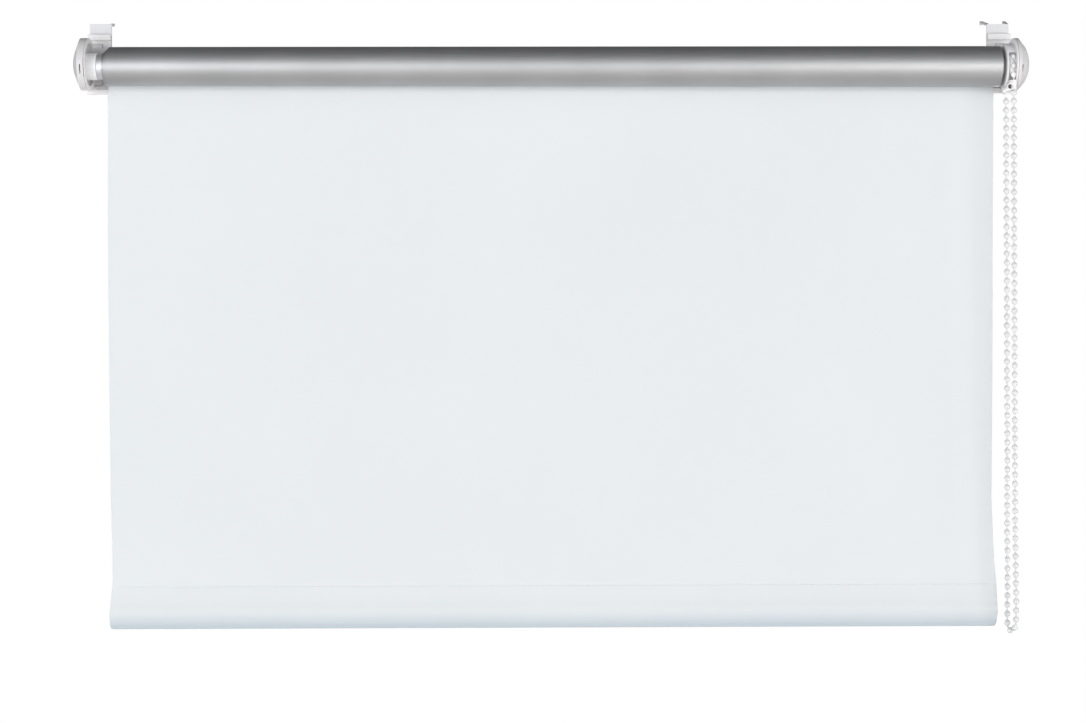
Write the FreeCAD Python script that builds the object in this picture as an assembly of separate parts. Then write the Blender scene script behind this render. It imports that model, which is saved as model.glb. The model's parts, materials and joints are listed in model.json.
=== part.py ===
"""Roller blind that clamps over a window sash, with a bead chain drive. Millimetres.

Everything is drawn about the roller's axis: X runs along the roller towards the chain,
Y runs towards the window, Z is up. save() then moves each piece into the object's frame,
whose origin is where the sash's top front edge sits under the clamp hooks.
"""
import FreeCAD, Part
import math
import os

V = FreeCAD.Vector

# ---- driving dimensions ----
SASH_Y = 21.4               # sash face behind the roller's axis
SASH_Z = 30.6               # sash top above the roller's axis

TUBE_R = 8.5
TUBE_WALL = 0.8
TUBE_X = (-301.2, 299.2)
FABRIC_T = 0.3
FABRIC_HALF_W = 297.85
WOUND_X = (-297.6, -294.0, 298.85)   # first layer's left edge, last layer's left edge, right edges
WOUND_R = (13.05, 13.7)              # outside radius at the left and right ends
TAPE_T = 0.2
TAPE_HALF_L = 294.0
TAPE_FROM_Z = 6.1           # the tape covers the tube's top above this height
FIRST_TURN_T = 0.4          # straight part of the wound fabric's left edge

BASE_H = {"left": (-16.8, 23.9), "right": (-15.8, 24.5)}    # bottom and top of each base
BASE_W = 15.4
BASE_Y = (14.9, 17.3, 20.2) # front of the lips, floor of the recess, back
BASE_ROUND = 0.5            # rounding of the lips' front edges
LIP_H = (3.4, 4.2)          # bottom and top lips
LATCH_W = 7.0
LATCH_T = 0.6
LATCH_LEG_T = 0.4
LATCH_DEPTH = 1.3
LATCH_LEG = (3.6, -2.6)     # height of the lower and upper slot's legs
LATCH_IN = (6.3, 6.8)       # slots' distance from the base's bottom and top
LATCH_SHIFT = 1.3           # slots sit this much towards the outer end

CHEEK_DZ = 1.2              # the round cheek and its cover sit this much above the roller's axis
CHEEK_R = 17.5
SPIGOT_R = 16.0
DISH_R = 14.2               # hollow in the left cheek that the idle plug's end turns in
DISH_DEPTH = 2.5
WEB_HALF_H = 13.0           # web that joins the cheek to the base
WEB_FRONT_Y = 6.0
WEB_CLEAR = 0.2
COVER_R = 17.6
COVER_WALL = 1.3
COVER_GAP = 0.2             # between the cheek's rim and the cover
COVER_DEPTH = {"left": 9.9, "right": 9.7}
COVER_RIM = {"left": 4.5, "right": 2.0}
COVER_SHOULDER = {"left": (7.9, 9.6), "right": (6.6, 12.0)} # where the cone meets the crown
COVER_NOTCH = (4.0, 9.0)    # depth and front of the opening that straddles the web
SNAP_Z = (-6.7, -0.7)       # slot in the cover's rim that a catch on the cheek springs into
SNAP_IN = 2.4
SNAP_T = 0.8
SNAP_DEPTH = 1.0
PRY_Z = (-9.5, 3.3)         # slit under the left cover's edge
PRY_T = 0.3
COVER_X = {"left": -307.4, "right": 308.2}
BASE_OUTER_X = {"left": -311.6, "right": 309.8}
CHEEK_RIM_T = {"left": 0.5, "right": 1.0}
CHEEK_T = {"left": 3.8, "right": 2.7}

HOOK_T = 1.2
HOOK_W = 14.8
HOOK_BOTTOM = -14.0
HOOK_TOP = 31.6
PRONG_W = 2.0
PRONG_ROOT = 4.0            # the prongs start this much below the plate's top
LONG_PRONG = (43.6, 3.0)    # far end and length of the tip that turns down
SHORT_PRONG = (31.0, 2.2)
PRONG_RISE = {"left": (2.8, 2.0), "right": (5.6, 3.6)}      # of the long and the short prong
KEY_CLEAR = 0.4

SCREW_R = 2.0
SCREW_L = 7.0
SCREW_Z = 8.0
SCREW_SOCKET = 1.0
SCREW_SOCKET_DEPTH = 2.0
SCREW_TIP = 0.6
NUT_SIDE = 7.0
NUT_T = 2.2
NUT_CLEAR = 0.1
RUN_FIT = 0.05              # radial play of a turning or sliding fit

PLUG_R = 9.0
PLUG_FLANGE_X = (-309.1, -301.35)
PLUG_GROOVE_X = (-303.1, -302.8)
PLUG_GROOVE_DEPTH = 0.2
PLUG_END_X = -270.0
PIN_R = 3.0
PIN_X = (-310.6, -292.0)
PIN_HEAD_R = 4.0
PIN_HEAD_T = 2.0
PIN_NOSE = 0.5
SPRING_X = (-291.9, -276.0)
SPRING_R = 2.9
SPRING_WIRE = 0.6
SPRING_TURNS = 12

BEAD_R = 2.05
BEAD_PITCH = 6.0
WHEEL_BEADS = 12
WHEEL_AT = math.radians(4.4)        # the first bead on the wheel sits this far below the front
PITCH_R = BEAD_PITCH / 2 / math.sin(math.pi / WHEEL_BEADS)
CHAIN_X = 305.9
THREAD_R = 0.45
POCKET_R = 2.07
WHEEL_W = 4.8
WHEEL_R = 12.5
HUB_R = (5.3, 6.3)
HUB_END_X = 285.0
HUB_SLOT = (3.2, 299.0)     # half width and inner end of the slot the tangs sit in
WHEEL_PLAY = 0.2

GUARD_X = (301.2, 307.2)
GUARD_R = 15.2
GUARD_WALL = 1.05
GUARD_CHAMFER = 0.6
WINDOW_X = (302.4, 307.2)
WINDOW_Z = (-10.6, 7.6)
OUTLET_R = (2.25, 2.75)
OUTLET_X = 305.7
OUTLET_Z = (-16.9, -6.0)
FOOT_AT = (303.1, -15.0)    # X and Z of the small round foot beside the front spout
FOOT_R = (1.55, 2.2)        # radii of its blind hole and its outside
FOOT_Y = (-14.2, -7.0)      # its front and the hole's floor

CORE_R = 4.0
CORE_END_X = 283.2
CORE_BORE = (2.2, 3.0)      # radius, and the solid length left at its foot
TANG_R = 0.4
TANG_L = 1.4
COIL_WIRE = 0.95
COIL_TURNS = 6
COIL_X = (286.0, 292.6)
ADAPTER_X = (280.0, 283.0, 299.3, 300.1)

HEM_TOP_Z = -343.3
BAR_HALF_L = 295.0
BAR_TOP_Z = -361.0
BAR_BOTTOM_Z = -374.9
BAR_BACK = 1.5              # the flat back is this much behind the sheet's plane
BAR_END = 1.2               # height of the rounded top, and of the rounded bottom
# The bar's front curves back towards the bottom: distance in front of the sheet's plane, and height.
BAR_FRONT = [(2.1, -362.2), (1.5, -369.0), (-0.3, -373.9)]
HEM_HALF_W = 298.2
HEM_FABRIC = 0.35
HEM_PLAY = 0.05             # between the bar and the fabric
HEM_OFF = 0.3               # the widest part's middle is this much in front of the sheet's plane
HEM_HALF_T = 1.8            # half the bar's thickness there
HEM_POINT = (4.5, 2.6)      # the pocket closes this much above the bar, outside and inside
HEM_SHIFT = 2.0             # the hem hangs this much towards the chain
HEM_TILT = 0.22             # degrees, up towards the chain
SHEET_Y = 14.1
SHEET_TOP_Z = -0.5

# The chain's route from the front outlet of the guard, down, round and up to the rear outlet.
CHAIN_ROUTE = [
    (305.9, -11.55, -18.7),
    (306.1, -11.45, -78.0),
    (306.3, -11.20, -140.0),
    (306.7, -10.50, -200.0),
    (306.9, -9.90, -256.0),
    (307.4, -8.70, -304.0),
    (308.2, -7.10, -338.0),
    (308.9, -5.60, -360.0),
    (308.9, -4.40, -374.9),
    (305.0, 4.40, -376.1),
    (305.4, 5.90, -361.0),
    (305.9, 7.30, -337.0),
    (305.8, 8.80, -300.0),
    (306.4, 9.90, -250.0),
    (306.2, 10.70, -194.0),
    (306.4, 11.10, -136.0),
    (306.0, 11.45, -76.0),
    (305.9, 11.55, -18.7),
]


def save(name, shape):
    """Moves a piece from the roller's axis to the object's frame and writes it."""
    placed = shape.copy()
    placed.translate(V(0, -SASH_Y, -SASH_Z))
    placed.exportStep("parts/" + name + ".step")


def box(x, y, z):
    """A block between the low and high values of each axis, in either order."""
    low = V(min(x), min(y), min(z))
    return Part.makeBox(abs(x[1] - x[0]), abs(y[1] - y[0]), abs(z[1] - z[0]), low)


def rod(r, x0, x1, dz=0.0):
    """A round bar along X."""
    return Part.makeCylinder(r, abs(x1 - x0), V(min(x0, x1), 0, dz), V(1, 0, 0))


def pipe(r_out, r_in, x0, x1):
    """A round tube along X."""
    return rod(r_out, x0, x1).cut(rod(r_in, x0 - 1, x1 + 1))


def spun(points):
    """A solid of revolution about X: points are (x, radius) round a closed outline."""
    wire = Part.makePolygon([V(x, 0, r) for x, r in points + points[:1]])
    return Part.Face(wire).revolve(V(0, 0, 0), V(1, 0, 0), 360)


def side_sign(side):
    return -1.0 if side == "left" else 1.0


def base_span(side):
    """The base's outer and inner X, outer first."""
    outer = BASE_OUTER_X[side]
    return outer, outer - side_sign(side) * BASE_W


def base_centre(side):
    return sum(base_span(side)) / 2


# ---- brackets ----
def latch_slot(x, z, leg):
    """A slot in the base that a hook plate's tab springs into, with a short leg at each end."""
    half = LATCH_W / 2
    deep = (BASE_Y[0], BASE_Y[1] + LATCH_DEPTH)
    slot = box((x - half, x + half), deep, (z - LATCH_T / 2, z + LATCH_T / 2))
    for end in (-1, 1):
        edge = x + end * half
        slot = slot.fuse(box((edge, edge - end * LATCH_LEG_T), deep, (z, z + leg)))
    return slot


def base_block(side):
    """The base before its recess is cut, with its front edges rounded."""
    block = box(base_span(side), (BASE_Y[0], BASE_Y[2]), BASE_H[side])
    front = [e for e in block.Edges if e.BoundBox.YMax < BASE_Y[0] + BASE_ROUND]
    return block.makeFillet(BASE_ROUND, front)


def bracket(side):
    """One moulding: the channel-shaped base against the sash and the round cheek across its end."""
    s = side_sign(side)
    inner = base_span(side)[1]
    bottom, top = BASE_H[side]
    recess_z = (bottom + LIP_H[0], top - LIP_H[1])
    rim = COVER_X[side]
    cheek_in = rim - s * CHEEK_RIM_T[side]
    cheek_out = cheek_in + s * CHEEK_T[side]
    body = base_block(side)
    body = body.cut(box((cheek_out + s, inner - s), (BASE_Y[0] - 1, BASE_Y[1]), recess_z))
    disc = rod(CHEEK_R, cheek_in, rim, CHEEK_DZ)
    disc = disc.fuse(rod(SPIGOT_R, rim, cheek_out, CHEEK_DZ))
    web_z = (CHEEK_DZ - WEB_HALF_H, CHEEK_DZ + WEB_HALF_H)
    body = body.fuse(disc).fuse(box((cheek_in, cheek_out), (WEB_FRONT_Y, BASE_Y[2]), web_z))
    centre = base_centre(side)
    slot_x = centre + s * LATCH_SHIFT
    body = body.cut(latch_slot(slot_x, top - LATCH_IN[1], LATCH_LEG[1]))
    body = body.cut(latch_slot(slot_x, bottom + LATCH_IN[0], LATCH_LEG[0]))
    catch_x = (rim + s * (SNAP_IN - SNAP_T / 2), cheek_out + s)
    body = body.cut(box(catch_x, (-SPIGOT_R - 1, SNAP_DEPTH - SPIGOT_R), SNAP_Z))
    key_hole = Part.makeCylinder(SCREW_R + KEY_CLEAR, 20, V(centre, BASE_Y[0], SCREW_Z), V(0, 1, 0))
    half = NUT_SIDE / 2 + NUT_CLEAR
    nut_pocket = box(
        (centre - half, centre + half),
        (BASE_Y[2] - NUT_T, BASE_Y[2] + 1),
        (SCREW_Z - half, SCREW_Z + half),
    )
    body = body.cut(key_hole).cut(nut_pocket)
    if side == "left":
        body = body.cut(rod(DISH_R, cheek_in + 1, cheek_in - DISH_DEPTH, CHEEK_DZ))
        return body.cut(rod(PIN_R + RUN_FIT, cheek_in - 10, cheek_in + 1))
    wheel_pocket = rod(GUARD_R - GUARD_WALL, cheek_in - 1, CHAIN_X + WHEEL_W / 2 + WHEEL_PLAY)
    return body.cut(wheel_pocket)


def dome(rim, s, radius, rim_depth, shoulder, depth):
    """A solid round cap: a straight rim, a cone and a spherical crown."""
    shoulder_d, shoulder_r = shoulder
    corners = [(0, 0), (0, radius), (rim_depth, radius), (shoulder_d, shoulder_r)]
    points = [V(rim + s * d, 0, r + CHEEK_DZ) for d, r in corners]
    tip = V(rim + s * depth, 0, CHEEK_DZ)
    height = depth - shoulder_d
    ball_r = (shoulder_r ** 2 + height ** 2) / (2 * height)
    half_r = shoulder_r / 2
    crown_d = depth - ball_r + math.sqrt(ball_r ** 2 - half_r ** 2)
    crown = V(rim + s * crown_d, 0, half_r + CHEEK_DZ)
    edges = [Part.makeLine(a, b) for a, b in zip(points, points[1:])]
    edges.append(Part.Arc(points[-1], crown, tip).toShape())
    edges.append(Part.makeLine(tip, points[0]))
    return Part.Face(Part.Wire(edges)).revolve(V(0, 0, CHEEK_DZ), V(1, 0, 0), 360)


def cover(side):
    """The domed snap cover over the outside of a cheek."""
    s = side_sign(side)
    rim = COVER_X[side] + s * COVER_GAP
    wall = COVER_WALL
    shoulder = COVER_SHOULDER[side]
    rim_depth, depth = COVER_RIM[side], COVER_DEPTH[side]
    shell = dome(rim, s, COVER_R, rim_depth, shoulder, depth)
    inner_shoulder = (shoulder[0] - wall, shoulder[1] - wall / 2)
    hollow = dome(rim, s, COVER_R - wall, rim_depth - wall / 3, inner_shoulder, depth - wall)
    shell = shell.cut(hollow)
    half_h = WEB_HALF_H + WEB_CLEAR
    notch_d, notch_y = COVER_NOTCH
    notch_x = (rim - s, rim + s * notch_d)
    shell = shell.cut(box(notch_x, (notch_y, 30.0), (CHEEK_DZ - half_h, CHEEK_DZ + half_h)))
    outer, inner = base_span(side)
    base_y = (BASE_Y[0] - WEB_CLEAR, 30.0)
    shell = shell.cut(box((outer + s * WEB_CLEAR, inner), base_y, (-40, 40)))
    snap_x = (rim + s * (SNAP_IN - SNAP_T / 2), rim + s * (SNAP_IN + SNAP_T / 2))
    shell = shell.cut(box(snap_x, (-COVER_R - 1, -COVER_R + 2 * wall), SNAP_Z))
    if side == "left":
        shell = shell.cut(box((rim + 1, rim - PRY_T), (-30, -WEB_FRONT_Y), PRY_Z))
    return shell


def prong(x, back, tip, rise):
    """One prong of a clamp hook: back over the sash at a slight rise, then down to its tip."""
    front = SASH_Y - HOOK_T
    slope = rise / (back - front)
    back_z = HOOK_TOP + rise
    outline = [
        (front, HOOK_TOP - PRONG_ROOT),
        (front, HOOK_TOP),
        (back, back_z),
        (back, back_z - tip),
        (back - HOOK_T, back_z - tip),
        (back - HOOK_T, back_z - HOOK_T * (1 + slope)),
        (SASH_Y, SASH_Z),
        (SASH_Y, HOOK_TOP - PRONG_ROOT),
    ]
    wire = Part.makePolygon([V(x, y, z) for y, z in outline + outline[:1]])
    return Part.Face(wire).extrude(V(PRONG_W, 0, 0))


def clamp_hook(side):
    """Bent sheet steel: a plate behind the base, and a long and a short prong over the sash."""
    centre = base_centre(side)
    half = HOOK_W / 2
    plate = box((centre - half, centre + half), (SASH_Y - HOOK_T, SASH_Y), (HOOK_BOTTOM, HOOK_TOP))
    long_rise, short_rise = PRONG_RISE[side]
    plate = plate.fuse(prong(centre - half, *LONG_PRONG, long_rise))
    plate = plate.fuse(prong(centre + half - PRONG_W, *SHORT_PRONG, short_rise))
    hole_r = SCREW_R + KEY_CLEAR
    hole = Part.makeCylinder(hole_r, 2 * HOOK_T, V(centre, SASH_Y - 1.5 * HOOK_T, SCREW_Z), V(0, 1, 0))
    return plate.cut(hole).removeSplitter()


def clamp_nut(side):
    """Square nut let into the back of the base."""
    x = base_centre(side)
    half = NUT_SIDE / 2
    nut_y = (BASE_Y[2] - NUT_T, BASE_Y[2])
    nut = box((x - half, x + half), nut_y, (SCREW_Z - half, SCREW_Z + half))
    bore = Part.makeCylinder(SCREW_R + RUN_FIT, 10, V(x, BASE_Y[2] - 5, SCREW_Z), V(0, 1, 0))
    return nut.cut(bore)


def hexagon(radius, centre, depth):
    """A hexagonal prism along Y, from centre backwards."""
    points = [
        V(
            centre.x + radius * math.cos(math.radians(60 * i)),
            centre.y,
            centre.z + radius * math.sin(math.radians(60 * i)),
        )
        for i in range(7)
    ]
    return Part.Face(Part.makePolygon(points)).extrude(V(0, depth, 0))


def clamp_screw(side):
    """Grub screw with a hexagon socket; its rounded tip presses on the sash."""
    x = base_centre(side)
    start = SASH_Y - SCREW_L
    tip_at = V(x, SASH_Y - SCREW_TIP, SCREW_Z)
    shank = Part.makeCylinder(SCREW_R, SCREW_L - SCREW_TIP, V(x, start, SCREW_Z), V(0, 1, 0))
    tip = Part.makeCone(SCREW_R, SCREW_R - SCREW_TIP, SCREW_TIP, tip_at, V(0, 1, 0))
    socket = hexagon(SCREW_SOCKET, V(x, start - 1, SCREW_Z), SCREW_SOCKET_DEPTH + 1)
    return shank.fuse(tip).cut(socket)


# ---- roller ----
def wound_fabric():
    """The turns of fabric on the tube; their left edges step back towards the outside."""
    first, last, right = WOUND_X
    inner = TUBE_R + TAPE_T
    return spun([
        (first, inner),
        (first, inner + FIRST_TURN_T),
        (last, WOUND_R[0]),
        (right, WOUND_R[1]),
        (right, inner),
    ])


def adhesive_strip():
    """Double-sided tape along the tube that holds the fabric's end."""
    strip = pipe(TUBE_R + TAPE_T, TUBE_R, -TAPE_HALF_L, TAPE_HALF_L)
    return strip.common(box((-300, 300), (-20, 20), (TAPE_FROM_Z, 20)))


def idle_plug():
    """Plastic plug in the tube's free end, with a blind bore for the sprung pin."""
    flange_out, flange_in = PLUG_FLANGE_X
    body = rod(PLUG_R, flange_out, flange_in)
    body = body.fuse(rod(TUBE_R - TUBE_WALL, flange_in, PLUG_END_X))
    body = body.cut(pipe(PLUG_R + 1, PLUG_R - PLUG_GROOVE_DEPTH, *PLUG_GROOVE_X))
    body = body.cut(rod(PIN_R + RUN_FIT, flange_out - 1, SPRING_X[1]))
    head_space = rod(PIN_HEAD_R + 0.2, PIN_X[1] - PIN_HEAD_T - 0.1, SPRING_X[1])
    return body.cut(head_space)


def idle_pin():
    """Steel pin that the plug turns on; pressed in, it leaves the cheek's hole."""
    nose = Part.makeCone(PIN_R - PIN_NOSE, PIN_R, PIN_NOSE, V(PIN_X[0], 0, 0), V(1, 0, 0))
    shank = rod(PIN_R, PIN_X[0] + PIN_NOSE, PIN_X[1])
    head = rod(PIN_HEAD_R, PIN_X[1] - PIN_HEAD_T, PIN_X[1])
    return nose.fuse(shank).fuse(head)


def ring_stack(x0, x1, turns, ring_r, wire):
    """A coil spring as its turns: rings joined by a rod along one side."""
    step = (x1 - x0 - wire) / (turns - 1)
    start = x0 + wire / 2
    stack = rod(wire / 3, start, x1 - wire / 2, ring_r)
    for i in range(turns):
        ring = Part.makeTorus(ring_r, wire / 2, V(start + i * step, 0, 0), V(1, 0, 0))
        stack = stack.fuse(ring)
    return stack


def idle_spring():
    return ring_stack(SPRING_X[0], SPRING_X[1], SPRING_TURNS, SPRING_R, SPRING_WIRE)


# ---- chain drive ----
def bead_place(i):
    """Centre of bead i on the chain wheel; bead 0 is at the front, and they go over the top."""
    angle = math.pi + WHEEL_AT - i * 2 * math.pi / WHEEL_BEADS
    return V(CHAIN_X, PITCH_R * math.cos(angle), PITCH_R * math.sin(angle))


def chain_wheel():
    """Pocketed wheel that the beads sit in, with a slotted hub that turns the clutch springs."""
    half = WHEEL_W / 2
    wheel = rod(WHEEL_R, CHAIN_X - half, CHAIN_X + half)
    hub = pipe(HUB_R[1], HUB_R[0], HUB_END_X, CHAIN_X - half)
    slot_half, slot_end = HUB_SLOT
    hub = hub.cut(box((HUB_END_X - 1, slot_end), (-slot_half, slot_half), (0, 10)))
    wheel = wheel.fuse(hub).cut(rod(CORE_R + 0.3, CHAIN_X - half - 1, CHAIN_X + half + 1))
    for i in range(WHEEL_BEADS):
        centre = bead_place(i)
        outwards = centre - V(CHAIN_X, 0, 0)
        wheel = wheel.cut(Part.makeSphere(POCKET_R, centre))
        wheel = wheel.cut(Part.makeCylinder(POCKET_R, WHEEL_R, centre, outwards))
    channel = Part.makeTorus(PITCH_R, THREAD_R + 0.5, V(CHAIN_X, 0, 0), V(1, 0, 0))
    return wheel.cut(channel)


def wheel_beads():
    """The stretch of chain that lies over the top of the wheel: beads on their thread."""
    on_wheel = WHEEL_BEADS // 2 + 1
    beads = Part.makeSphere(BEAD_R, bead_place(0))
    for i in range(1, on_wheel):
        beads = beads.fuse(Part.makeSphere(BEAD_R, bead_place(i)))
        a = bead_place(i - 1)
        link = bead_place(i) - a
        beads = beads.fuse(Part.makeCylinder(THREAD_R, link.Length, a, link))
    return beads


def clutch_springs():
    """Two wrap springs that grip the core, each with a tang in the hub's slot."""
    ring_r = CORE_R + 0.05 + COIL_WIRE / 2
    length = (COIL_TURNS - 1) * COIL_WIRE * 0.94 + COIL_WIRE
    coils = []
    for x in COIL_X:
        coil = ring_stack(x, x + length, COIL_TURNS, ring_r, COIL_WIRE)
        for dx in (COIL_WIRE / 2, length - COIL_WIRE / 2):
            tang = Part.makeCylinder(TANG_R, TANG_L, V(x + dx, 0, ring_r), V(0, 0, 1))
            coil = coil.fuse(tang)
        coils.append(coil)
    return Part.makeCompound(coils)


def clutch_core():
    """Fixed post on the cheek that the wrap springs grip; it also carries the wheel."""
    cheek_face = CHAIN_X + WHEEL_W / 2 + WHEEL_PLAY
    bore_r, foot = CORE_BORE
    return rod(CORE_R, CORE_END_X, cheek_face).cut(rod(bore_r, CORE_END_X - 1, cheek_face - foot))


def tube_adapter():
    """Cup pressed into the tube's driven end; a rib inside it is pushed by the tangs."""
    back, floor, flange, face = ADAPTER_X
    cup = rod(TUBE_R - TUBE_WALL, back, flange).fuse(rod(TUBE_R - 0.1, flange, face))
    return cup.cut(rod(HUB_R[1] + 2 * RUN_FIT, floor, face + 1))


def outlet(y):
    """Short spout that guides one side of the chain out of the guard."""
    length = OUTLET_Z[1] - OUTLET_Z[0]
    spout = Part.makeCylinder(OUTLET_R[1], length, V(OUTLET_X, y, OUTLET_Z[0]), V(0, 0, 1))
    return spout.common(box(GUARD_X, (-30, 30), (-30, 0)))


def chain_guard():
    """Round housing over the wheel: a window at the front, two spouts at the bottom."""
    x0, x1 = GUARD_X
    edge = GUARD_CHAMFER
    body = Part.makeCone(GUARD_R - edge, GUARD_R, edge, V(x0, 0, 0), V(1, 0, 0))
    body = body.fuse(rod(GUARD_R, x0 + edge, x1))
    for y in (-PITCH_R, PITCH_R):
        body = body.fuse(outlet(y))
    foot = V(FOOT_AT[0], FOOT_Y[0], FOOT_AT[1])
    body = body.fuse(Part.makeCylinder(FOOT_R[1], -FOOT_Y[0], foot, V(0, 1, 0)))
    body = body.cut(rod(GUARD_R - GUARD_WALL, x0 + GUARD_WALL, x1 + 1))
    body = body.cut(rod(HUB_R[1] + 0.4, x0 - 1, x1 + 1))
    for y in (-PITCH_R, PITCH_R):
        path = Part.makeCylinder(OUTLET_R[0], 30, V(CHAIN_X, y, -30), V(0, 0, 1))
        body = body.cut(path)
    body = body.cut(box(WINDOW_X, (-20, -8), WINDOW_Z))
    return body.cut(Part.makeCylinder(FOOT_R[0], FOOT_Y[1] - FOOT_Y[0], foot, V(0, 1, 0)))


def chain_path():
    """Straight runs joined by tangent arcs as large as the runs allow. Returns edges and length."""
    points = [V(*p) for p in CHAIN_ROUTE]
    edges = []
    start = points[0]
    for a, b, c in zip(points, points[1:], points[2:]):
        into = (b - a).normalize()
        out = (c - b).normalize()
        turn = into.getAngle(out)
        reach = 0.45 * min((b - a).Length, (c - b).Length)
        radius = reach / math.tan(turn / 2)
        print("chain bend radius", round(radius, 1), "turn", round(math.degrees(turn), 1))
        first = b - into * reach
        last = b + out * reach
        middle = b + (out - into).normalize() * (radius / math.cos(turn / 2) - radius)
        edges.append(Part.LineSegment(start, first).toShape())
        edges.append(Part.Arc(first, middle, last).toShape())
        start = last
    edges.append(Part.LineSegment(start, points[-1]).toShape())
    return edges, sum(e.Length for e in edges)


def bead_chain():
    """The hanging loop's outer shape: a tube as thick as the beads."""
    edges, length = chain_path()
    route = Part.Wire(edges)
    start = V(*CHAIN_ROUTE[0])
    along = V(*CHAIN_ROUTE[1]) - start
    ring = Part.Wire([Part.Circle(start, along, BEAD_R).toShape()])
    tube = route.makePipeShell([ring], True, False)
    ideal = math.pi * BEAD_R ** 2 * length
    print("chain length", round(length, 1), "volume ratio", round(tube.Volume / ideal, 4))
    return tube


# ---- blind ----
def tilt_hem(shape):
    """Puts the hem, drawn level and in the middle, where it hangs."""
    placed = shape.copy()
    placed.rotate(V(0, SHEET_Y, HEM_TOP_Z), V(0, 1, 0), -HEM_TILT)
    placed.translate(V(HEM_SHIFT, 0, 0))
    return placed


def hanging_sheet():
    """The stretch between the roll and the hem; its lower edge is the hem's upper one."""
    rise = FABRIC_HALF_W * math.tan(math.radians(HEM_TILT))
    corners = [
        (-FABRIC_HALF_W, SHEET_TOP_Z),
        (FABRIC_HALF_W, SHEET_TOP_Z),
        (FABRIC_HALF_W + HEM_SHIFT, HEM_TOP_Z + rise),
        (-FABRIC_HALF_W + HEM_SHIFT, HEM_TOP_Z - rise),
    ]
    front = SHEET_Y - FABRIC_T / 2
    wire = Part.makePolygon([V(x, front, z) for x, z in corners + corners[:1]])
    return Part.Face(wire).extrude(V(0, FABRIC_T, 0))


def bar_section(spread):
    """The weight bar's section in Y and Z, spread outwards evenly all round."""
    back = SHEET_Y + BAR_BACK
    high, middle, low = [V(0, SHEET_Y - ahead, z) for ahead, z in BAR_FRONT]
    back_high = V(0, back, BAR_TOP_Z - BAR_END)
    back_low = V(0, back, BAR_BOTTOM_Z + BAR_END)
    top = V(0, (high.y + back) / 2, BAR_TOP_Z)
    bottom = V(0, (low.y + back) / 2, BAR_BOTTOM_Z)
    edges = [
        Part.Arc(high, middle, low).toShape(),
        Part.Arc(low, bottom, back_low).toShape(),
        Part.makeLine(back_low, back_high),
        Part.Arc(back_high, top, high).toShape(),
    ]
    outline = Part.Wire(edges)
    if spread:
        outline = outline.makeOffset2D(spread)
    return Part.Face(outline)


def roof(half, base_z, point_z):
    """The wedge over the bar where the pocket's two sides come together."""
    corners = [(half + HEM_OFF, base_z), (-half + HEM_OFF, base_z), (0, point_z), (half + HEM_OFF, base_z)]
    return Part.Face(Part.makePolygon([V(0, SHEET_Y - ahead, z) for ahead, z in corners]))


def weight_bar():
    bar = bar_section(0).extrude(V(2 * BAR_HALF_L, 0, 0))
    bar.translate(V(-BAR_HALF_L, 0, 0))
    return tilt_hem(bar)


def hem_pocket():
    """The fabric's end folded up round the bar and sewn: a bulge with a double layer above it."""
    shoulder_z = BAR_TOP_Z - BAR_END
    outside = HEM_PLAY + HEM_FABRIC
    front, back = SHEET_Y - HEM_FABRIC, SHEET_Y + HEM_FABRIC
    tail_z = BAR_TOP_Z + 1.0
    corners = [(front, tail_z), (back, tail_z), (back, HEM_TOP_Z), (front, HEM_TOP_Z), (front, tail_z)]
    tail = Part.Face(Part.makePolygon([V(0, y, z) for y, z in corners]))
    along = V(2 * HEM_HALF_W, 0, 0)
    pocket = bar_section(outside).extrude(along)
    pocket = pocket.fuse(roof(HEM_HALF_T + outside, shoulder_z, BAR_TOP_Z + HEM_POINT[0]).extrude(along))
    pocket = pocket.fuse(tail.extrude(along))
    pocket = pocket.cut(bar_section(HEM_PLAY).extrude(along))
    pocket = pocket.cut(roof(HEM_HALF_T + HEM_PLAY, shoulder_z, BAR_TOP_Z + HEM_POINT[1]).extrude(along))
    pocket.translate(V(-HEM_HALF_W, 0, 0))
    return tilt_hem(pocket.removeSplitter())


def main():
    os.makedirs("parts", exist_ok=True)
    for side in ("left", "right"):
        save(side + "_bracket", bracket(side))
        save(side + "_cover", cover(side))
        save(side + "_clamp_hook", clamp_hook(side))
        save(side + "_clamp_nut", clamp_nut(side))
        save(side + "_clamp_screw", clamp_screw(side))
    save("roller_tube", pipe(TUBE_R, TUBE_R - TUBE_WALL, *TUBE_X))
    save("adhesive_strip", adhesive_strip())
    save("wound_fabric", wound_fabric())
    save("idle_plug", idle_plug())
    save("idle_pin", idle_pin())
    save("idle_spring", idle_spring())
    save("tube_adapter", tube_adapter())
    save("clutch_core", clutch_core())
    save("clutch_springs", clutch_springs())
    save("chain_wheel", chain_wheel())
    save("wheel_beads", wheel_beads())
    save("chain_guard", chain_guard())
    save("bead_chain", bead_chain())
    save("hanging_sheet", hanging_sheet())
    save("hem_pocket", hem_pocket())
    save("weight_bar", weight_bar())


main()
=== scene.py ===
"""The looks of a clamp-on roller blind: its cloth, bead chain, plastics and metals, in metres."""
import json
import math

import bpy
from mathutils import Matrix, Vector, noise


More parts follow.
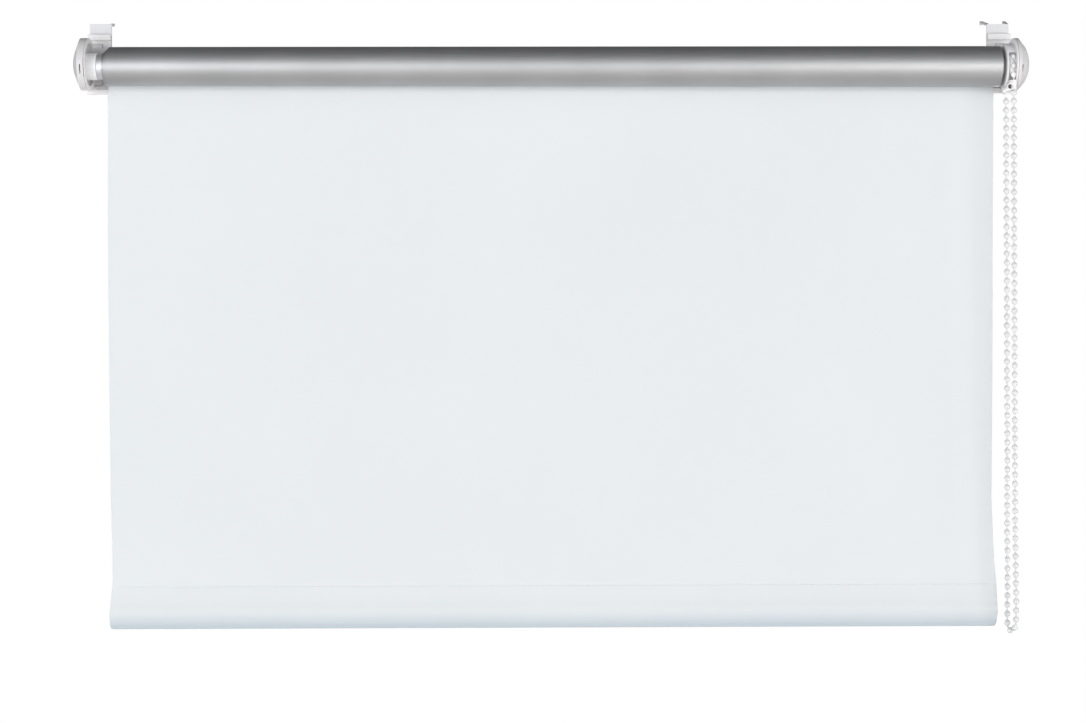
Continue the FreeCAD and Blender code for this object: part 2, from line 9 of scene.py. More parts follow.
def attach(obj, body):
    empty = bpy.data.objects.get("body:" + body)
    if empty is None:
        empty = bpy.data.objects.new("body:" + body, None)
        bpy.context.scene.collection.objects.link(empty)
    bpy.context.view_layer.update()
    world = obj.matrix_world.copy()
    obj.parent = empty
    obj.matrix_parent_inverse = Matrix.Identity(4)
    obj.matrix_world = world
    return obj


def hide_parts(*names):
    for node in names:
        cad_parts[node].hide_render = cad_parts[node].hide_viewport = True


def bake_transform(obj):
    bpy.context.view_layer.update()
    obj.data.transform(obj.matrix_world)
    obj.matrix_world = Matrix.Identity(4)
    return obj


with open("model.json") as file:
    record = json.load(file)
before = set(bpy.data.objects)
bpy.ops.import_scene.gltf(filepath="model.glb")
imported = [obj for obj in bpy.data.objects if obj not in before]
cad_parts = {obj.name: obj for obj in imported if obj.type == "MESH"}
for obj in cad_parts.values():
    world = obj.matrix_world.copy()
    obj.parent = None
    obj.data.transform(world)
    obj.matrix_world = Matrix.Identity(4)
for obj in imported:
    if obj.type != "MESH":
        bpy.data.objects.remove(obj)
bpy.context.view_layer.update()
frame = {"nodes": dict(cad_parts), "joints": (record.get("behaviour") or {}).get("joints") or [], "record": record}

JOINTS = {joint["name"]: joint for joint in frame["joints"]}
AXIS = Vector(JOINTS["roller_turn"]["pos_m"])       # the roller turns about a line along X through here

# ---- sizes, in metres; places are measured from the roller's axis ----
CAMERA_AT = (-0.00505, -1.4279, -0.2270)
LENS_MM = 70
FLOOR_Z = -1.62

BEAD_R = 0.00205
BEAD_PITCH = 0.006
NECK_R = 0.0009
THREAD_R = 0.00042
NECK_RINGS = [(-0.00262, THREAD_R), (-0.00240, NECK_R * 0.8), (-0.00198, NECK_R)]   # from a bead's middle
BEAD_ARC = 12               # steps from end to end of a bead
BEAD_SIDES = 18
THREAD_SIDES = 8
OUTLET_BEAD = 0.0003        # along the chain, the bead that sits in the front outlet
FIRST_BEAD = 0.0057         # along the chain from the front outlet
LAST_BEAD = 0.00315         # before the rear outlet
GUARD_BEADS = (0.0068, 0.0128)      # below the axis, inside the guard
CHAIN_ROUTE = [
    (0.3059, -0.01155, -0.0187),
    (0.3061, -0.01145, -0.0780),
    (0.3063, -0.01120, -0.1400),
    (0.3067, -0.01050, -0.2000),
    (0.3069, -0.00990, -0.2560),
    (0.3074, -0.00870, -0.3040),
    (0.3082, -0.00710, -0.3380),
    (0.3089, -0.00560, -0.3600),
    (0.3089, -0.00440, -0.3749),
    (0.3050, 0.00440, -0.3761),
    (0.3054, 0.00590, -0.3610),
    (0.3059, 0.00730, -0.3370),
    (0.3058, 0.00880, -0.3000),
    (0.3064, 0.00990, -0.2500),
    (0.3062, 0.01070, -0.1940),
    (0.3064, 0.01110, -0.1360),
    (0.3060, 0.01145, -0.0760),
    (0.3059, 0.01155, -0.0187),
]

SHEET_Y = 0.0141            # the hanging cloth's plane, behind the axis
CLOTH_T = 0.0003
LIFT_OFF = 112              # degrees round from the front, where the hanging cloth leaves the roll's top
HEM_TOP_Z = -0.3433
HEM_TILT = math.radians(0.22)
HEM_SHIFT = 0.002
SHEET_COLUMNS = 48
SHEET_ROWS = 90
WRAP_ROWS = 15              # rows on the roll
WAVES = [(3.1, 1.7, 4.0, 0.0011), (9.0, 2.4, 11.0, 0.0003)]     # across, down, which pattern, depth
CURL_IN = 0.013             # the edges' curl is deepest this far in
CURL_W = 0.011
CURL_DEPTH = (0.0005, 0.0008)       # near the roll, and how much is added lower down
HEM_STEPS = 6               # between two points of the hem's section

# Height, left edge and right edge of the cloth, from the roll down to the hem's bottom corners.
CLOTH_EDGES = [
    (0.0140, -0.2955, 0.2988),
    (-0.0020, -0.2966, 0.2985),
    (-0.0150, -0.2978, 0.2980),
    (-0.1150, -0.2978, 0.2974),
    (-0.2000, -0.2970, 0.2973),
    (-0.2900, -0.2957, 0.2966),
    (-0.3300, -0.2947, 0.2984),
    (-0.3433, -0.2946, 0.2997),
    (-0.3540, -0.2955, 0.3002),
    (-0.3660, -0.2962, 0.3003),
    (-0.3735, -0.2962, 0.2997),
    (-0.3756, -0.2950, 0.2986),
]

# The hem's section, front to back: distance in front of the sheet's plane, and height.
HEM_SECTION = [
    (0.00000, -0.3433),
    (0.00004, -0.3455),
    (-0.00002, -0.3473),
    (0.00030, -0.3505),
    (0.00065, -0.3540),
    (0.00120, -0.3575),
    (0.00195, -0.3608),
    (0.00238, -0.3630),
    (0.00236, -0.3655),
    (0.00203, -0.3681),
    (0.00153, -0.3703),
    (0.00085, -0.3722),
    (0.00003, -0.3738),
    (-0.00040, -0.3749),
    (-0.00090, -0.3753),
    (-0.00155, -0.3747),
    (-0.00177, -0.3734),
    (-0.00177, -0.3635),
    (-0.00150, -0.3610),
    (-0.00075, -0.3570),
    (-0.00050, -0.3500),
    (-0.00036, -0.3473),
    (-0.00038, -0.3437),
]
BAR_SHADE_RISE = (-0.0195, -0.0335)       # the bar's top and bottom, measured down along the hem's cloth; the painted shade deepens between them
BAR_SHADE_FADE = (-0.0345, -0.0385)     # the turn of the cloth under the bar, where the painted shade ends
# colour of the painted shade on the hem over the bar, darkest at the bar's bottom; it also stands for the bar's
# grey showing through
BAR_SHADE_GREY = (0.66, 0.735, 0.785, 1)
STITCH_Z = -0.3473
STITCH_PITCH = 0.0043
STITCH_LENGTH = 0.0033
STITCH_R = 0.00022
STITCH_ARC = 9
STITCH_MARGIN = 0.004
STITCH_STRAY = 0.0002
STITCH_RISE = 0.06          # each stitch leans by this slope

ROLL_TURNS = 17
ROLL_STEPS = 56             # along each turn
ROLL_INNER_R = 0.00885
ROLL_OUTER_R = (0.01292, 0.01355)   # middle of the outer turn, at the left and right ends
ROLL_CLOTH_T = 0.00022
ROLL_LEFT = (-0.2976, -0.2942)      # left edge of the first and last turns
ROLL_SLANT = 0.0012         # the last turn's left edge is this much further in at the top
ROLL_RIGHT = 0.2987
ROLL_STRAY = 0.0004         # uneven turns at the edges
ROLL_COLUMNS = 12
SELVAGE = 0.0005            # uncoated strip along the cut edges

FLOOR_R = 5.8
FLOOR_SIDES = 96

# Name, place, target, size, power and colour of each light.
MIDDLE = (0, 0, -0.1)
LIGHTS = [
    ("left_softbox", (-1.35, -2.0, -0.28), MIDDLE, (1.3, 1.15), 26, (0.96, 0.98, 1.0)),
    ("right_softbox", (1.35, -2.0, -0.28), MIDDLE, (1.3, 1.15), 24, (1.0, 0.99, 0.97)),
    ("left_side", (-2.6, -0.7, -0.4), MIDDLE, (1.4, 1.0), 13, (0.97, 0.98, 1.0)),
    ("right_side", (2.6, -0.7, -0.4), MIDDLE, (1.4, 1.0), 16, (1.0, 0.99, 0.98)),
    ("floor_fill", (0, -2.2, -0.9), (0, -2.2, -1.6), (2.4, 0.6), 3, (1.0, 0.95, 0.89)),
    ("back_softbox", (0, 2.3, -0.6), (0, 0, -0.2), (1.8, 1.0), 22, (1.0, 0.99, 0.98)),
    ("floor_front", (0, -3.6, -0.5), (0, -3.6, -1.6), (5.5, 2.4), 30, (1.0, 0.97, 0.93)),
    ("floor_back", (0, 3.0, -0.5), (0, 3.0, -1.6), (5.5, 2.8), 34, (1.0, 0.98, 0.96)),
]

# What reflections and indirect light see: colours from straight down to straight up.
SURROUNDINGS = [
    (0.00, (0.40, 0.37, 0.34)),
    (0.30, (0.55, 0.53, 0.51)),
    (0.48, (0.70, 0.71, 0.73)),
    (0.56, (0.65, 0.66, 0.68)),
    (0.68, (0.50, 0.50, 0.51)),
    (0.85, (0.28, 0.28, 0.285)),
    (1.00, (0.13, 0.13, 0.135)),
]


# ---- helpers ----
def place(x, y, z):
    """A point given from the roller's axis, in the object's frame."""
    return Vector((x, AXIS.y + y, AXIS.z + z))


def ease(t):
    """0 to 1 with level ends."""
    t = min(max(t, 0.0), 1.0)
    return t * t * (3 - 2 * t)


def through(points, steps):
    """A smooth line through every point, with steps parts between two of them."""
    line = []
    last = len(points) - 1
    for i in range(last):
        a, b, c, d = (Vector(points[min(max(k, 0), last)]) for k in (i - 1, i, i + 1, i + 2))
        for s in range(steps):
            t = s / steps
            line.append(
                b + (c - a) * t / 2
                + (a - b * 2.5 + c * 2 - d / 2) * t ** 2
                + ((b - c) * 1.5 + (d - a) / 2) * t ** 3
            )
    line.append(Vector(points[last]))
    return line


def edges_at(z):
    """Left and right edge of the cloth at a height."""
    if z >= CLOTH_EDGES[0][0]:
        return CLOTH_EDGES[0][1:]
    for high, low in zip(CLOTH_EDGES, CLOTH_EDGES[1:]):
        if z >= low[0]:
            t = (high[0] - z) / (high[0] - low[0])
            return [a + (b - a) * t for a, b in zip(high[1:], low[1:])]
    return CLOTH_EDGES[-1][1:]


def new_object(name, mesh):
    thing = bpy.data.objects.new(name, mesh)
    bpy.context.scene.collection.objects.link(thing)
    return thing


def solid_mesh(name, vertices, faces, materials, kinds=None, sharp=40):
    """A smooth-shaded object, with its edges sharper than sharp degrees kept sharp."""
    mesh = bpy.data.meshes.new(name)
    mesh.from_pydata([tuple(v) for v in vertices], [], faces)
    for material in materials:
        mesh.materials.append(material)
    if kinds:
        mesh.polygons.foreach_set("material_index", kinds)
    mesh.polygons.foreach_set("use_smooth", [True] * len(faces))
    mesh.set_sharp_from_angle(angle=math.radians(sharp))
    mesh.update()
    return new_object(name, mesh)


def cloth(name, rows, thickness, outer, inner, edge):
    """A closed sheet of cloth. rows are the points of its middle surface, top row first, each from
    left to right. outer covers the side away from the room, inner the other, and edge what is cut."""
    down, across = len(rows), len(rows[0])
    outside, inside, flat = [], [], []
    fallen = 0.0
    for i, row in enumerate(rows):
        above, below = rows[max(i - 1, 0)], rows[min(i + 1, down - 1)]
        if i:
            fallen += (row[0] - above[0]).length
        for j, point in enumerate(row):
            along = row[min(j + 1, across - 1)] - row[max(j - 1, 0)]
            normal = along.cross(below[j] - above[j]).normalized()
            outside.append(point + normal * thickness / 2)
            inside.append(point - normal * thickness / 2)
            flat.append(((point - row[0]).length, -fallen))
    back = down * across
    faces, kinds = [], []
    for i in range(down - 1):
        for j in range(across - 1):
            a, d = i * across + j, i * across + j + 1
            b, c = a + across, d + across
            faces += [(a, d, c, b), (a + back, b + back, c + back, d + back)]
            bare = j in (0, across - 2)
            kinds += [2 if bare else 0, 1]
    corner = (down - 1) * across
    rim = list(range(across - 1))
    rim += [i * across + across - 1 for i in range(down - 1)]
    rim += [corner + j for j in range(across - 1, 0, -1)]
    rim += [i * across for i in range(down - 1, 0, -1)]
    for p, q in zip(rim, rim[1:] + rim[:1]):
        faces.append((q, p, p + back, q + back))
        kinds.append(2)
    sheet = solid_mesh(name, outside + inside, faces, [outer, inner, edge], kinds)
    layer = sheet.data.uv_layers.new(name="UVMap")
    flat += flat
    for loop in sheet.data.loops:
        layer.data[loop.index].uv = flat[loop.vertex_index]
    return sheet


def lathe(rings, centre, along, segments):
    """Vertices and faces of a closed round shape: rings are (distance along, radius)."""
    along = along.normalized()
    side = along.orthogonal().normalized()
    up = along.cross(side)
    vertices, faces = [], []
    for distance, radius in rings:
        for k in range(segments):
            angle = 2 * math.pi * k / segments
            out = side * math.cos(angle) + up * math.sin(angle)
            vertices.append(centre + along * distance + out * radius)
    for i in range(len(rings) - 1):
        for k in range(segments):
            a, b = i * segments + k, i * segments + (k + 1) % segments
            faces.append((a, b, b + segments, a + segments))
    faces.append(tuple(reversed(range(segments))))
    faces.append(tuple((len(rings) - 1) * segments + k for k in range(segments)))
    return vertices, faces


def gather(parts):
    """Joins several (vertices, faces) into one."""
    vertices, faces = [], []
    for part_vertices, part_faces in parts:
        start = len(vertices)
        vertices += part_vertices
        faces += [tuple(start + k for k in face) for face in part_faces]
    return vertices, faces


# ---- materials ----
class Paint:
    """A material built on one Principled shader, with short calls for its nodes."""

    def __init__(self, name, **values):
        self.material = bpy.data.materials.new(name)
        self.material.use_nodes = True
        self.tree = self.material.node_tree
        self.shader = self.tree.nodes["Principled BSDF"]
        for socket, value in values.items():
            self.shader.inputs[socket.replace("_", " ")].default_value = value

    def node(self, kind, inputs=None, **settings):
        made = self.tree.nodes.new("ShaderNode" + kind)
        for key, value in settings.items():
            setattr(made, key, value)
        for key, value in (inputs or {}).items():
            if isinstance(value, bpy.types.NodeSocket):
                self.tree.links.new(value, made.inputs[key])
            else:
                made.inputs[key].default_value = value
        return made

    def feed(self, socket, value):
        self.tree.links.new(value, self.shader.inputs[socket])

    def where(self, kind="Object", scale=(1, 1, 1)):
        """Coordinates that stay on the piece: Object, or UV for cloth."""
        source = self.node("TexCoord").outputs[kind]
        return self.node("Mapping", {"Vector": source, "Scale": scale}).outputs["Vector"]

    def noise(self, at, scale, detail=2.0, rough=0.5):
        inputs = {"Vector": at, "Scale": scale, "Detail": detail, "Roughness": rough}
        return self.node("TexNoise", inputs).outputs["Fac"]

    def between(self, value, low, high, source=(0.3, 0.7)):
        inputs = {"Value": value, "From Min": source[0], "From Max": source[1], "To Min": low, "To Max": high}
        return self.node("MapRange", inputs).outputs["Result"]

    def tint(self, value, dark, light, source=(0.3, 0.7)):
        """A colour between two, by a value."""
        ramp = self.node("ValToRGB", {"Fac": value})
        for element, stop, colour in zip(ramp.color_ramp.elements, source, (dark, light)):
            element.position = stop
            element.color = (*colour, 1)
        return ramp.outputs["Color"]

    def mix(self, inputs, **settings):
        return self.node("Mix", inputs, data_type="RGBA", **settings).outputs["Result"]

    def bump(self, height, distance, strength=1.0, under=None):
        inputs = {"Height": height, "Distance": distance, "Strength": strength}
        if under is not None:
            inputs["Normal"] = under
        return self.node("Bump", inputs).outputs["Normal"]


def moulded_plastic(name, dark, light, roughness, texture=0.00003):
    """White moulded plastic: slightly uneven gloss, a fine spark-eroded grain and faint flow marks."""
    paint = Paint(name, Metallic=0.0, IOR=1.5)
    at = paint.where()
    broad = paint.noise(at, 28, 3)
    grain = paint.noise(at, 2600, 2)
    flow = paint.noise(paint.where(scale=(1, 1, 0.15)), 160, 2)
    paint.feed("Base Color", paint.tint(broad, dark, light))
    paint.feed("Roughness", paint.between(flow, roughness - 0.05, roughness + 0.06))
    ripple = paint.bump(broad, 0.0004, 0.25)
    paint.feed("Normal", paint.bump(grain, texture, 0.6, ripple))
    return paint.material


def coated_steel(name):
    """Sheet steel with a white powder coat, which has a soft orange peel."""
    paint = Paint(name, Metallic=0.0, Coat_Weight=0.25, Coat_Roughness=0.25)
    at = paint.where()
    peel = paint.noise(at, 900, 2)
    broad = paint.noise(at, 45, 3)
    paint.feed("Base Color", paint.tint(broad, (0.60, 0.605, 0.62), (0.635, 0.64, 0.655)))
    paint.feed("Roughness", paint.between(broad, 0.34, 0.44))
    paint.feed("Normal", paint.bump(peel, 0.00006, 0.5))
    return paint.material


def drawn_metal(name, dark, light, roughness, grain_scale):
    """Bare metal with fine marks along one direction, set by the grain's scale on each axis."""
    paint = Paint(name, Metallic=1.0)
    marks = paint.noise(paint.where(scale=grain_scale), 900, 3, 0.6)
    stain = paint.noise(paint.where(), 60, 3)
    paint.feed("Base Color", paint.tint(stain, dark, light))
    paint.feed("Roughness", paint.between(marks, roughness - 0.07, roughness + 0.09))
    paint.feed("Normal", paint.bump(marks, 0.00002, 0.6))
    return paint.material


def weave_height(paint, pitch):
    """The height of a plain weave, from the cloth's own flat coordinates."""
    at = paint.node("SeparateXYZ", {"Vector": paint.where("UV")})
    turn = 2 * math.pi / pitch
    waves = []
    for axis in ("X", "Y"):
        angle = paint.node("Math", {0: at.outputs[axis], 1: turn}, operation="MULTIPLY")
        waves.append(paint.node("Math", {0: angle.outputs[0]}, operation="SINE").outputs[0])
    both = paint.node("Math", {0: waves[0], 1: waves[1]}, operation="MULTIPLY")
    return paint.node("Math", {0: both.outputs[0], 1: 0.5, 2: 0.5}, operation="MULTIPLY_ADD").outputs[0]


def white_cloth(name, with_bar_shade=False):
    """The room side: a close plain weave of white polyester, with a few thicker threads.
    Where it is stretched over the weight bar, a blue-grey tint darkens the hem towards its bottom: painted shade,
    which also stands for the bar's grey showing through a little."""
    paint = Paint(name, Metallic=0.0)
    weave = weave_height(paint, 0.0007)
    thick_threads = paint.noise(paint.where("UV", (6, 220, 1)), 9, 3)
    cloud = paint.noise(paint.where("UV"), 5, 2)
    white = paint.tint(cloud, (0.608, 0.635, 0.652), (0.625, 0.650, 0.665))
    # painted shade: the hem's cloth over the bar is tinted blue-grey, darker towards its bottom edge, partly for
    # the bar's grey showing through
    if with_bar_shade:
        down = paint.node("SeparateXYZ", {"Vector": paint.where("UV")}).outputs["Y"]
        ahead = paint.between(down, 0.0, 1.0, source=BAR_SHADE_RISE)
        behind = paint.between(down, 1.0, 0.0, source=BAR_SHADE_FADE)
        bar_shade_amount = paint.node("Math", {0: ahead, 1: behind}, operation="MULTIPLY").outputs["Value"]
        shade = paint.mix({"Factor": bar_shade_amount, "A": (1, 1, 1, 1), "B": BAR_SHADE_GREY})
        white = paint.mix({"Factor": 1.0, "A": white, "B": shade}, blend_type="MULTIPLY")
    paint.feed("Base Color", white)
    paint.feed("Roughness", paint.between(thick_threads, 0.68, 0.8))
    under = paint.bump(thick_threads, 0.00006, 0.25)
    paint.feed("Normal", paint.bump(weave, 0.00003, 0.35, under))
    return paint.material


def silver_coating(name):
    """The window side: an aluminised coat over the weave, satin, with faint streaks across the roll."""
    paint = Paint(name, Metallic=1.0)
    weave = weave_height(paint, 0.0007)
    streak = paint.noise(paint.where("UV", (3, 90, 1)), 14, 3)
    cloud = paint.noise(paint.where("UV"), 18, 3)
    paint.feed("Base Color", paint.tint(cloud, (0.43, 0.433, 0.44), (0.48, 0.483, 0.49)))
    paint.feed("Roughness", paint.between(streak, 0.46, 0.54))
    under = paint.bump(streak, 0.00008, 0.2)
    paint.feed("Normal", paint.bump(weave, 0.00003, 0.25, under))
    return paint.material


def clear_tape(name):
    """Double-sided tape with its amber glue."""
    paint = Paint(name, Metallic=0.0, Roughness=0.3)
    smear = paint.noise(paint.where(), 240, 3)
    paint.feed("Base Color", paint.tint(smear, (0.62, 0.52, 0.36), (0.72, 0.64, 0.48)))
    paint.feed("Normal", paint.bump(smear, 0.00005, 0.4))
    return paint.material


SMOOTH = 0.00001            # grain of polished plastic
MATERIALS = {
    "white_plastic": moulded_plastic("white_plastic", (0.69, 0.678, 0.684), (0.72, 0.71, 0.715), 0.42),
    "cover_plastic": moulded_plastic("cover_plastic", (0.585, 0.573, 0.58), (0.613, 0.60, 0.607), 0.38),
    "inner_plastic": moulded_plastic("inner_plastic", (0.86, 0.86, 0.87), (0.89, 0.89, 0.90), 0.5),
    "chain_plastic": moulded_plastic(
        "chain_plastic", (0.635, 0.64, 0.645), (0.68, 0.68, 0.685), 0.3, SMOOTH
    ),
    "white_steel": coated_steel("white_steel"),
    "bright_steel": drawn_metal("bright_steel", (0.50, 0.49, 0.48), (0.62, 0.61, 0.60), 0.3, (1, 12, 12)),
    "aluminium": drawn_metal("aluminium", (0.68, 0.69, 0.72), (0.76, 0.77, 0.80), 0.54, (0.05, 1, 1)),
    "tape": clear_tape("tape"),
    "silver_fabric": silver_coating("silver_fabric"),
    "white_fabric": white_cloth("white_fabric"),
}
# the hem's white, carrying the painted shade over the weight bar
HEM_WHITE_PAINTED_SHADE = white_cloth("white_fabric_hem_painted_shade", with_bar_shade=True)
# painted light: a lighter white than the parts' own slots, lifting the plug and the beads in the guard out of
# their shade
PAINTED_LIGHT_WHITE = moulded_plastic("white_painted_light", (0.87, 0.875, 0.89), (0.90, 0.905, 0.915), 0.36, SMOOTH)
PAINTED_LIGHT_NODES = ("idle_plug", "wheel_beads")


def paint_frame():
    """Gives each CAD part the material of its slot; a few that sit in shade get a lighter white instead, as
    painted light.
    """
    for part in frame["record"]["subparts"]:
        thing = frame["nodes"][part["node"]]
        look = PAINTED_LIGHT_WHITE if part["node"] in PAINTED_LIGHT_NODES else MATERIALS[part["material_slot"]]
        for material_slot in thing.material_slots:
            material_slot.material = look


# ---- camera ----
def make_camera():
    data = bpy.data.cameras.new("camera")
    data.lens = LENS_MM
    data.sensor_width = 36
    data.clip_start = 0.05
    data.clip_end = 60
    camera = bpy.data.objects.new("camera", data)
    camera.location = CAMERA_AT
    camera.rotation_euler = (math.radians(90), 0, 0)
    bpy.context.scene.collection.objects.link(camera)
    bpy.context.scene.camera = camera


# ---- bead chain ----
def smooth_route(controls):
    """The points of the smooth curve that a cord's control points make."""
    data = bpy.data.curves.new("route", "CURVE")
    data.dimensions = "3D"
    data.resolution_u = 32
    spline = data.splines.new("NURBS")
    spline.points.add(len(controls) - 1)
    for control, point in zip(controls, spline.points):
        point.co = (*control, 1)
    spline.order_u = 3
    spline.use_endpoint_u = True
    holder = new_object("route", data)
    mesh = bpy.data.meshes.new_from_object(holder)
    line = [vertex.co.copy() for vertex in mesh.vertices]
    bpy.data.objects.remove(holder)
    bpy.data.curves.remove(data)
    bpy.data.meshes.remove(mesh)
    return line


def travel(line):
    """How far along the line each of its points is."""
    far = [0.0]
    for a, b in zip(line, line[1:]):
        far.append(far[-1] + (b - a).length)
    return far


def point_at(line, far, distance):
    """The point at a distance along the line, and the direction there."""
    k = 0
    while k < len(far) - 2 and far[k + 1] < distance:
        k += 1
    step = line[k + 1] - line[k]
    share = (distance - far[k]) / (far[k + 1] - far[k])
    return line[k] + step * share, step


def bead_rings():
    """A moulded bead: a ball with a short neck at each end."""
    rings = list(NECK_RINGS)
    for k in range(1, BEAD_ARC):
        angle = math.pi * k / BEAD_ARC
        x, r = -math.cos(angle) * BEAD_R, math.sin(angle) * BEAD_R
        if r > NECK_R:
            rings.append((x, r))
    rings += [(-x, r) for x, r in reversed(NECK_RINGS)]
    return rings


def thread(line):
    """The thin round thread between beads, along a line."""
    vertices, faces = [], []
    for i, point in enumerate(line):
        along = (line[min(i + 1, len(line) - 1)] - line[max(i - 1, 0)]).normalized()
        side = along.cross(Vector((1, 0, 0))).normalized()
        up = along.cross(side)
        for k in range(THREAD_SIDES):
            angle = 2 * math.pi * k / THREAD_SIDES
            vertices.append(point + (side * math.cos(angle) + up * math.sin(angle)) * THREAD_R)
    for i in range(len(line) - 1):
        for k in range(THREAD_SIDES):
            a, b = i * THREAD_SIDES + k, i * THREAD_SIDES + (k + 1) % THREAD_SIDES
            faces.append((a, a + THREAD_SIDES, b + THREAD_SIDES, b))
    faces.append(tuple(range(THREAD_SIDES)))
    faces.append(tuple(reversed([(len(line) - 1) * THREAD_SIDES + k for k in range(THREAD_SIDES)])))
    return vertices, faces


def make_chain():
    """The hanging loop: moulded beads on their thread, from the front outlet round to the rear one."""
    line = smooth_route([place(*control) for control in CHAIN_ROUTE])
    far = travel(line)
    room = far[-1] - FIRST_BEAD - LAST_BEAD
    count = round(room / BEAD_PITCH)
    parts = [thread(line)]
    for k in range(-1, count + 1):
        distance = max(FIRST_BEAD + room * k / count, OUTLET_BEAD)
        centre, along = point_at(line, far, distance)
        parts.append(lathe(bead_rings(), centre, along, BEAD_SIDES))
    vertices, faces = gather(parts)
    chain = solid_mesh("chain_loop", vertices, faces, [MATERIALS["chain_plastic"]], sharp=60)
    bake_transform(chain)
    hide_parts("bead_chain")


# ---- cloth ----
def columns(left, right, count=SHEET_COLUMNS):
    """Places across a width: the selvage at each edge and even steps between."""
    inner = right - left - 2 * SELVAGE
    return [left] + [left + SELVAGE + inner * k / count for k in range(count + 1)] + [right]


def sheet_depth(x, z, left, right):
    """How far the hanging cloth stands behind its plane: soft waves, less a forward curl near its edges."""
    free = ease((-0.012 - z) / 0.05) * ease((z - HEM_TOP_Z) / 0.03)
    wave = 0.0
    for across, down, pattern, depth in WAVES:
        wave += noise.noise(Vector((x * across, pattern, z * down))) * depth
    inside = min(x - left, right - x)
    lower = ease(-z / 0.3)
    curl = math.exp(-((inside - CURL_IN) / CURL_W) ** 2)
    return free * (wave - (CURL_DEPTH[0] + CURL_DEPTH[1] * lower) * curl)


def hem_rise(x):
    """The hem hangs a little higher on the chain's side."""
    return math.tan(HEM_TILT) * (x - HEM_SHIFT)


def make_sheet():
    """The cloth from the top of the roll, down its back and on to the hem."""
    rows = []
    roll_r = [r + ROLL_CLOTH_T / 2 + CLOTH_T for r in ROLL_OUTER_R]
    for k in range(WRAP_ROWS):
        share = k / WRAP_ROWS
        angle = math.radians(LIFT_OFF + (180 - LIFT_OFF) * share)
        left, right = edges_at(math.sin(angle) * SHEET_Y)
        row = []
        for x in columns(left, right):
            across = (x - left) / (right - left)
            hugging = roll_r[0] + (roll_r[1] - roll_r[0]) * across
            r = hugging + (SHEET_Y - hugging) * ease(share)
            row.append(place(x, -math.cos(angle) * r, math.sin(angle) * r))
        rows.append(row)
    for k in range(SHEET_ROWS + 1):
        share = k / SHEET_ROWS
        level = HEM_TOP_Z * share
        left, right = edges_at(level)
        row = []
        for x in columns(left, right):
            z = level + hem_rise(x) * ease((share - 0.5) * 2)
            row.append(place(x, SHEET_Y + sheet_depth(x, level, left, right), z))
        rows.append(row)
    white = MATERIALS["white_fabric"]
    sheet = cloth("sheet_cloth", rows, CLOTH_T, MATERIALS["silver_fabric"], white, white)
    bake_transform(sheet)
    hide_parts("hanging_sheet")


def make_hem():
    """The cloth's end, folded up behind round the weight bar and sewn."""
    section = through([(ahead, z, 0) for ahead, z in HEM_SECTION], HEM_STEPS)
    rows = []
    for ahead, level, _ in section:
        left, right = edges_at(level)
        row = [place(x, SHEET_Y - ahead, level + hem_rise(x)) for x in columns(left, right)]
        rows.append(row)
    hem = cloth("hem_cloth", rows, CLOTH_T, MATERIALS["silver_fabric"], HEM_WHITE_PAINTED_SHADE, HEM_WHITE_PAINTED_SHADE)
    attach(hem, "hem")
    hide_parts("hem_pocket")


def make_stitches():
    """The seam's thread on the room side: each stitch dips into the cloth at both ends."""
    rings = []
    for k in range(STITCH_ARC):
        angle = math.pi * (k + 0.25) / (STITCH_ARC - 0.5)
        rings.append((-math.cos(angle) * STITCH_LENGTH / 2, math.sin(angle) ** 0.5 * STITCH_R))
    left, right = edges_at(STITCH_Z)
    count = int((right - left - 2 * STITCH_MARGIN) / STITCH_PITCH)
    parts = []
    for k in range(count):
        x = left + STITCH_MARGIN + STITCH_PITCH * (k + 0.5)
        stray = noise.noise(Vector((k * 0.73, 2.0, 5.0))) * STITCH_STRAY
        centre = place(x, SHEET_Y - CLOTH_T / 2 - STITCH_R * 0.4, STITCH_Z + hem_rise(x) + stray)
        parts.append(lathe(rings, centre, Vector((1, 0, STITCH_RISE)), THREAD_SIDES))
    vertices, faces = gather(parts)
    stitches = solid_mesh("hem_stitches", vertices, faces, [MATERIALS["white_fabric"]], sharp=80)
    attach(stitches, "hem")


def make_guard_run():
    """The chain inside the guard: a straight run from the wheel to each outlet."""
    parts = []
    for start in (CHAIN_ROUTE[0], CHAIN_ROUTE[-1]):
        x, y, z = start
        top = place(x, y, 0)
        down = place(x, y, z) - top
        parts.append(thread([top, top + down * 0.5, top + down]))
        for drop in GUARD_BEADS:
            parts.append(lathe(bead_rings(), place(x, y, -drop), down, BEAD_SIDES))
    vertices, faces = gather(parts)
    # painted light: the beads inside the guard take the lighter white against the guard's shade
    run = solid_mesh("guard_run", vertices, faces, [PAINTED_LIGHT_WHITE], sharp=60)
    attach(run, "root")


def make_roll():
    """The wound cloth, silver side out: one long spiral whose left edge steps back turn by turn."""
    rows = []
    total = ROLL_TURNS * ROLL_STEPS
    for k in range(total + 1):
        share = k / total
        angle = math.pi + 2 * math.pi * (k - total) / ROLL_STEPS
        stray = noise.noise(Vector((k / ROLL_STEPS * 1.9, 7.0, 1.0))) * ROLL_STRAY
        left = ROLL_LEFT[0] + (ROLL_LEFT[1] - ROLL_LEFT[0] + ROLL_SLANT * math.sin(angle)) * share + stray
        row = []
        for x in columns(left, ROLL_RIGHT + stray * 0.4, ROLL_COLUMNS):
            across = (x - left) / (ROLL_RIGHT - left)
            outer = ROLL_OUTER_R[0] + (ROLL_OUTER_R[1] - ROLL_OUTER_R[0]) * across
            r = ROLL_INNER_R + (outer - ROLL_INNER_R) * share
            row.append(place(x, -math.cos(angle) * r, math.sin(angle) * r))
        rows.append(row)
    silver = MATERIALS["silver_fabric"]
    roll = cloth("roll_cloth", rows, ROLL_CLOTH_T, silver, MATERIALS["white_fabric"], silver)
    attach(roll, "roller")
    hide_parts("wound_fabric")


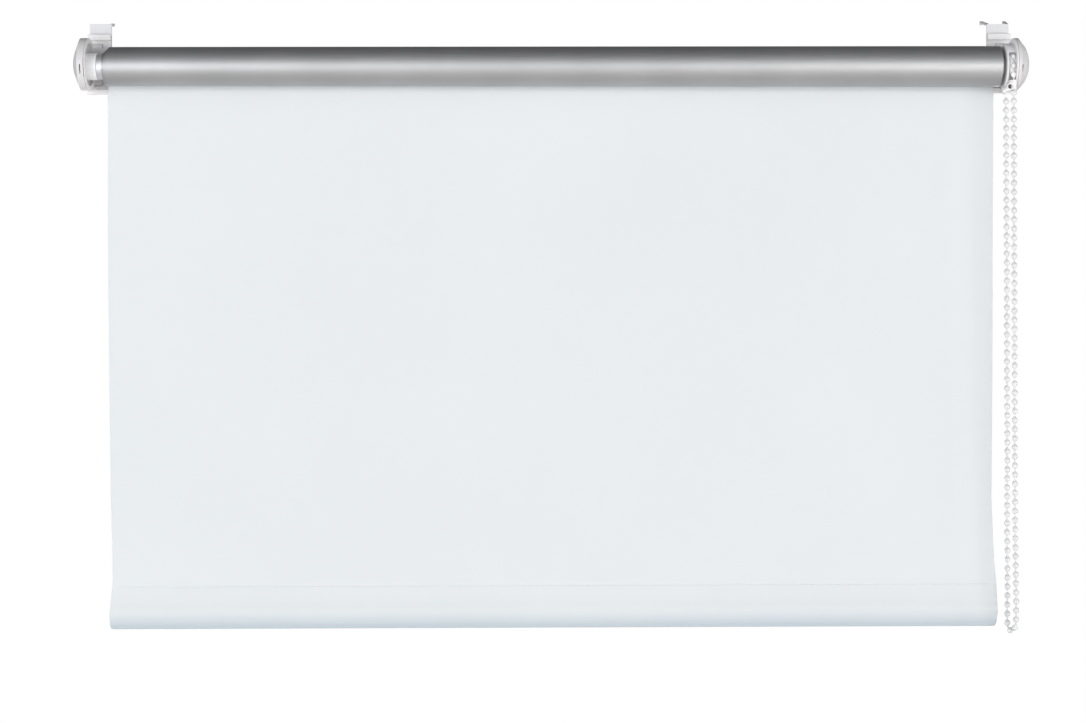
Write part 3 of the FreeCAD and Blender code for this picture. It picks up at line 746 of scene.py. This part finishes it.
# ---- studio ----
def make_floor():
    """A plain pale round floor well below the lowered blind."""
    vertices = [(0, 0, FLOOR_Z)]
    for k in range(FLOOR_SIDES):
        angle = 2 * math.pi * k / FLOOR_SIDES
        vertices.append((FLOOR_R * math.cos(angle), FLOOR_R * math.sin(angle), FLOOR_Z))
    faces = [(0, k + 1, (k + 1) % FLOOR_SIDES + 1) for k in range(FLOOR_SIDES)]
    paint = Paint("floor", Metallic=0.0, Roughness=0.8)
    speckle = paint.noise(paint.where(), 3, 3)
    paint.feed("Base Color", paint.tint(speckle, (0.80, 0.785, 0.77), (0.82, 0.805, 0.79)))
    solid_mesh("floor", vertices, faces, [paint.material])


def make_world():
    """Plain white to the camera. For light and reflections: dark overhead and bright in front."""
    world = bpy.data.worlds.new("studio")
    bpy.context.scene.world = world
    world.use_nodes = True
    tree = world.node_tree
    nodes, links = tree.nodes, tree.links
    glow = nodes["Background"]
    glow.inputs["Strength"].default_value = 1.0
    where = nodes.new("ShaderNodeTexCoord")
    split = nodes.new("ShaderNodeSeparateXYZ")
    links.new(where.outputs["Generated"], split.inputs[0])
    height = nodes.new("ShaderNodeMapRange")
    height.inputs["From Min"].default_value = -1
    links.new(split.outputs["Z"], height.inputs["Value"])
    ramp = nodes.new("ShaderNodeValToRGB")
    elements = ramp.color_ramp.elements
    while len(elements) < len(SURROUNDINGS):
        elements.new(0.5)
    for element, (stop, colour) in zip(elements, SURROUNDINGS):
        element.position = stop
        element.color = (*colour, 1)
    links.new(height.outputs["Result"], ramp.inputs["Fac"])
    behind = nodes.new("ShaderNodeMapRange")
    behind.inputs["From Min"].default_value = 0.05
    behind.inputs["From Max"].default_value = 0.7
    behind.inputs["To Min"].default_value = 1.0
    behind.inputs["To Max"].default_value = 0.25
    links.new(split.outputs["Y"], behind.inputs["Value"])
    shade = nodes.new("ShaderNodeVectorMath")
    shade.operation = "SCALE"
    links.new(ramp.outputs["Color"], shade.inputs[0])
    links.new(behind.outputs["Result"], shade.inputs["Scale"])
    rays = nodes.new("ShaderNodeLightPath")
    mix = nodes.new("ShaderNodeMix")
    mix.data_type = "RGBA"
    links.new(rays.outputs["Is Camera Ray"], mix.inputs["Factor"])
    links.new(shade.outputs["Vector"], mix.inputs["A"])
    mix.inputs["B"].default_value = (1, 1, 1, 1)
    links.new(mix.outputs["Result"], glow.inputs["Color"])


def make_light(name, at, towards, size, power, colour):
    data = bpy.data.lights.new(name, "AREA")
    data.shape = "RECTANGLE"
    data.size, data.size_y = size
    data.energy = power
    data.color = colour
    light = bpy.data.objects.new(name, data)
    light.location = at
    light.rotation_euler = (Vector(towards) - Vector(at)).to_track_quat("-Z", "Y").to_euler()
    light.visible_camera = False
    bpy.context.scene.collection.objects.link(light)


make_camera()
make_chain()
make_guard_run()
paint_frame()
make_roll()
make_sheet()
make_hem()
make_stitches()
make_floor()
make_world()
for light in LIGHTS:
    make_light(*light)
bpy.context.scene.view_settings.view_transform = "Standard"
